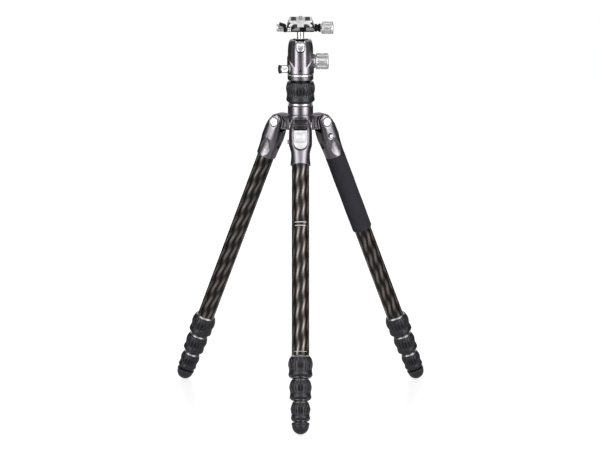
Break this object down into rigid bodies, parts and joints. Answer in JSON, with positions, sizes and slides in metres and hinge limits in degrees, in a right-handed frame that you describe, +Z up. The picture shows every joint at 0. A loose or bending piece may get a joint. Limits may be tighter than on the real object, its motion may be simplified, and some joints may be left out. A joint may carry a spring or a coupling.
{
  "type": "camera tripod",
  "caption": "Travel camera tripod: carbon legs with twist locks, folding shoulders with angle tabs, sliding centre column and ball head with a quick-release clamp.",
  "frame": {"origin": "middle of the bounding box, on the floor under the three feet", "axes": "+Z up along the centre column, -Y towards the front leg, +X to the right as seen from the front"},
  "size_m": [0.4202, 0.368, 0.6374],
  "materials": {
    "gunmetal": "satin",
    "silver": "satin",
    "carbon": "gloss",
    "rubber": "matte",
    "foam": "matte",
    "black_metal": "satin",
    "bright_steel": "brushed",
    "vial": "gloss"
  },
  "bodies": {
    "crown": {"spider": "gunmetal", "column_lock_ring": "silver"},
    "leg_a": {"casting_a": "gunmetal", "hinge_pin_a": "bright_steel", "tab_pin_a": "bright_steel", "tube_1_a": "carbon"},
    "angle_tab_a": {"angle_tab_a": "silver"},
    "lock_1_a": {"lock_1_a": "rubber"},
    "section_2_a": {"tube_2_a": "carbon"},
    "lock_2_a": {"lock_2_a": "rubber"},
    "section_3_a": {"tube_3_a": "carbon"},
    "lock_3_a": {"lock_3_a": "rubber"},
    "section_4_a": {"tube_4_a": "carbon", "foot_a": "rubber"},
    "leg_b": {"casting_b": "gunmetal", "hinge_pin_b": "bright_steel", "tab_pin_b": "bright_steel", "tube_1_b": "carbon"},
    "angle_tab_b": {"angle_tab_b": "silver"},
    "lock_1_b": {"lock_1_b": "rubber"},
    "section_2_b": {"tube_2_b": "carbon"},
    "lock_2_b": {"lock_2_b": "rubber"},
    "section_3_b": {"tube_3_b": "carbon"},
    "lock_3_b": {"lock_3_b": "rubber"},
    "section_4_b": {"tube_4_b": "carbon", "foot_b": "rubber"},
    "leg_c": {"casting_c": "gunmetal", "hinge_pin_c": "bright_steel", "tab_pin_c": "bright_steel", "tube_1_c": "carbon", "foam_grip": "foam"},
    "angle_tab_c": {"angle_tab_c": "silver"},
    "lock_1_c": {"lock_1_c": "rubber"},
    "section_2_c": {"tube_2_c": "carbon"},
    "lock_2_c": {"lock_2_c": "rubber"},
    "section_3_c": {"tube_3_c": "carbon"},
    "lock_3_c": {"lock_3_c": "rubber"},
    "section_4_c": {"tube_4_c": "carbon", "foot_c": "rubber"},
    "column_lock": {"column_lock_grip": "rubber"},
    "column": {"column_tube": "carbon", "column_top_plate": "black_metal", "column_end_cap": "black_metal", "pan_base": "gunmetal"},
    "hook": {"weight_hook": "bright_steel"},
    "head": {"head_housing": "gunmetal", "ball_cup": "black_metal", "lock_plunger": "bright_steel"},
    "main_knob": {"main_knob": "silver"},
    "pan_knob": {"pan_knob": "silver"},
    "ball": {"ball_stem": "silver"},
    "clamp": {"clamp_body": "black_metal", "bubble_level": "vial"},
    "clamp_jaw": {"clamp_jaw": "black_metal", "clamp_collar": "black_metal"},
    "clamp_knob": {"clamp_knob": "silver"},
    "clamp_pan_knob": {"clamp_pan_knob": "silver"},
    "lever": {"safety_lever": "black_metal"},
    "plate": {"qr_plate": "silver"},
    "camera_screw": {"camera_screw": "bright_steel"}
  },
  "joints": [
    {"name": "leg_fold_a", "type": "hinge", "parent": "crown", "child": "leg_a", "pos_m": [0, 0.01595, 0.46209], "axis": [-1, 0, 0], "range_deg": [-22.5, 61.4]},
    {"name": "angle_tab_a_rock", "type": "hinge", "parent": "leg_a", "child": "angle_tab_a", "pos_m": [0, 0.01008, 0.43822], "axis": [1, 0, 0], "range_deg": [0, 5], "stiffness_Nm_per_rad": 0.05, "springref_deg": -5.73},
    {"name": "lock_1_a_twist", "type": "hinge", "parent": "leg_a", "child": "lock_1_a", "pos_m": [0, 0.01595, 0.46209], "axis": [0, -0.3838, -0.9234], "range_deg": [0, 90]},
    {"name": "section_2_a_slide", "type": "slide", "parent": "leg_a", "child": "section_2_a", "axis": [0, -0.3838, -0.9234], "range_m": [0, 0.3]},
    {"name": "lock_2_a_twist", "type": "hinge", "parent": "section_2_a", "child": "lock_2_a", "pos_m": [0, 0.01595, 0.46209], "axis": [0, -0.3838, -0.9234], "range_deg": [0, 90]},
    {"name": "section_3_a_slide", "type": "slide", "parent": "section_2_a", "child": "section_3_a", "axis": [0, -0.3838, -0.9234], "range_m": [0, 0.3]},
    {"name": "lock_3_a_twist", "type": "hinge", "parent": "section_3_a", "child": "lock_3_a", "pos_m": [0, 0.01595, 0.46209], "axis": [0, -0.3838, -0.9234], "range_deg": [0, 90]},
    {"name": "section_4_a_slide", "type": "slide", "parent": "section_3_a", "child": "section_4_a", "axis": [0, -0.3838, -0.9234], "range_m": [0, 0.3]},
    {"name": "leg_fold_b", "type": "hinge", "parent": "crown", "child": "leg_b", "pos_m": [-0.03516, 0.07685, 0.46209], "axis": [0.5, 0.866, 0], "range_deg": [-22.5, 61.4]},
    {"name": "angle_tab_b_rock", "type": "hinge", "parent": "leg_b", "child": "angle_tab_b", "pos_m": [-0.04024, 0.07978, 0.43822], "axis": [-0.5, -0.866, 0], "range_deg": [0, 5], "stiffness_Nm_per_rad": 0.05, "springref_deg": -5.73},
    {"name": "lock_1_b_twist", "type": "hinge", "parent": "leg_b", "child": "lock_1_b", "pos_m": [-0.03516, 0.07685, 0.46209], "axis": [-0.3324, 0.1919, -0.9234], "range_deg": [0, 90]},
    {"name": "section_2_b_slide", "type": "slide", "parent": "leg_b", "child": "section_2_b", "axis": [-0.3324, 0.1919, -0.9234], "range_m": [0, 0.3]},
    {"name": "lock_2_b_twist", "type": "hinge", "parent": "section_2_b", "child": "lock_2_b", "pos_m": [-0.03516, 0.07685, 0.46209], "axis": [-0.3324, 0.1919, -0.9234], "range_deg": [0, 90]},
    {"name": "section_3_b_slide", "type": "slide", "parent": "section_2_b", "child": "section_3_b", "axis": [-0.3324, 0.1919, -0.9234], "range_m": [0, 0.3]},
    {"name": "lock_3_b_twist", "type": "hinge", "parent": "section_3_b", "child": "lock_3_b", "pos_m": [-0.03516, 0.07685, 0.46209], "axis": [-0.3324, 0.1919, -0.9234], "range_deg": [0, 90]},
    {"name": "section_4_b_slide", "type": "slide", "parent": "section_3_b", "child": "section_4_b", "axis": [-0.3324, 0.1919, -0.9234], "range_m": [0, 0.3]},
    {"name": "leg_fold_c", "type": "hinge", "parent": "crown", "child": "leg_c", "pos_m": [0.03516, 0.07685, 0.46209], "axis": [0.5, -0.866, 0], "range_deg": [-22.5, 61.4]},
    {"name": "angle_tab_c_rock", "type": "hinge", "parent": "leg_c", "child": "angle_tab_c", "pos_m": [0.04024, 0.07978, 0.43822], "axis": [-0.5, 0.866, 0], "range_deg": [0, 5], "stiffness_Nm_per_rad": 0.05, "springref_deg": -5.73},
    {"name": "lock_1_c_twist", "type": "hinge", "parent": "leg_c", "child": "lock_1_c", "pos_m": [0.03516, 0.07685, 0.46209], "axis": [0.3324, 0.1919, -0.9234], "range_deg": [0, 90]},
    {"name": "section_2_c_slide", "type": "slide", "parent": "leg_c", "child": "section_2_c", "axis": [0.3324, 0.1919, -0.9234], "range_m": [0, 0.3]},
    {"name": "lock_2_c_twist", "type": "hinge", "parent": "section_2_c", "child": "lock_2_c", "pos_m": [0.03516, 0.07685, 0.46209], "axis": [0.3324, 0.1919, -0.9234], "range_deg": [0, 90]},
    {"name": "section_3_c_slide", "type": "slide", "parent": "section_2_c", "child": "section_3_c", "axis": [0.3324, 0.1919, -0.9234], "range_m": [0, 0.3]},
    {"name": "lock_3_c_twist", "type": "hinge", "parent": "section_3_c", "child": "lock_3_c", "pos_m": [0.03516, 0.07685, 0.46209], "axis": [0.3324, 0.1919, -0.9234], "range_deg": [0, 90]},
    {"name": "section_4_c_slide", "type": "slide", "parent": "section_3_c", "child": "section_4_c", "axis": [0.3324, 0.1919, -0.9234], "range_m": [0, 0.3]},
    {"name": "column_lock_twist", "type": "hinge", "parent": "crown", "child": "column_lock", "pos_m": [0, 0.05655, 0.511], "axis": [0, 0, 1], "range_deg": [0, 90]},
    {"name": "column_slide", "type": "slide", "parent": "crown", "child": "column", "axis": [0, 0, 1], "range_m": [0, 0.2]},
    {"name": "hook_swing", "type": "hinge", "parent": "column", "child": "hook", "pos_m": [0, 0.05655, 0.21869], "axis": [1, 0, 0], "range_deg": [-80, 80]},
    {"name": "head_pan", "type": "hinge", "parent": "column", "child": "head", "pos_m": [0, 0.05655, 0.55], "axis": [0, 0, 1], "continuous": true},
    {"name": "main_knob_turn", "type": "hinge", "parent": "head", "child": "main_knob", "pos_m": [0.03, 0.05655, 0.56329], "axis": [1, 0, 0], "range_deg": [0, 180]},
    {"name": "pan_knob_turn", "type": "hinge", "parent": "head", "child": "pan_knob", "pos_m": [-0.02898, 0.04878, 0.55129], "axis": [-0.9659, -0.2588, 0], "range_deg": [0, 180]},
    {"name": "ball_tilt", "type": "hinge", "parent": "head", "child": "ball", "pos_m": [0, 0.05655, 0.58669], "axis": [1, 0, 0], "range_deg": [-36, 90]},
    {"name": "clamp_pan", "type": "hinge", "parent": "ball", "child": "clamp", "pos_m": [0, 0.05655, 0.614], "axis": [0, 0, 1], "continuous": true},
    {"name": "clamp_knob_turn", "type": "hinge", "parent": "clamp_jaw", "child": "clamp_knob", "pos_m": [0.04, 0.05655, 0.61789], "axis": [1, 0, 0], "range_deg": [0, 720]},
    {"name": "clamp_jaw_slide", "type": "slide", "parent": "clamp", "child": "clamp_jaw", "axis": [1, 0, 0], "range_m": [0, 0.00325]},
    {"name": "clamp_pan_knob_turn", "type": "hinge", "parent": "clamp", "child": "clamp_pan_knob", "pos_m": [-0.03, 0.05655, 0.61789], "axis": [1, 0, 0], "range_deg": [0, 180]},
    {"name": "safety_lever_swing", "type": "hinge", "parent": "clamp", "child": "lever", "pos_m": [-0.0249, 0.03955, 0.61609], "axis": [0, -1, 0], "range_deg": [0, 25], "stiffness_Nm_per_rad": 0.02, "springref_deg": -5.73},
    {"name": "plate_slide", "type": "slide", "parent": "clamp", "child": "plate", "axis": [0, 1, 0], "range_m": [-0.02, 0.02]},
    {"name": "camera_screw_turn", "type": "hinge", "parent": "plate", "child": "camera_screw", "pos_m": [0, 0.05655, 0.63], "axis": [0, 0, 1], "range_deg": [-360, 360]}
  ],
  "couplings": [
    {"joint": "clamp_jaw_slide", "follows": "clamp_knob_turn", "m_per_rad": 0.000238}
  ]
}
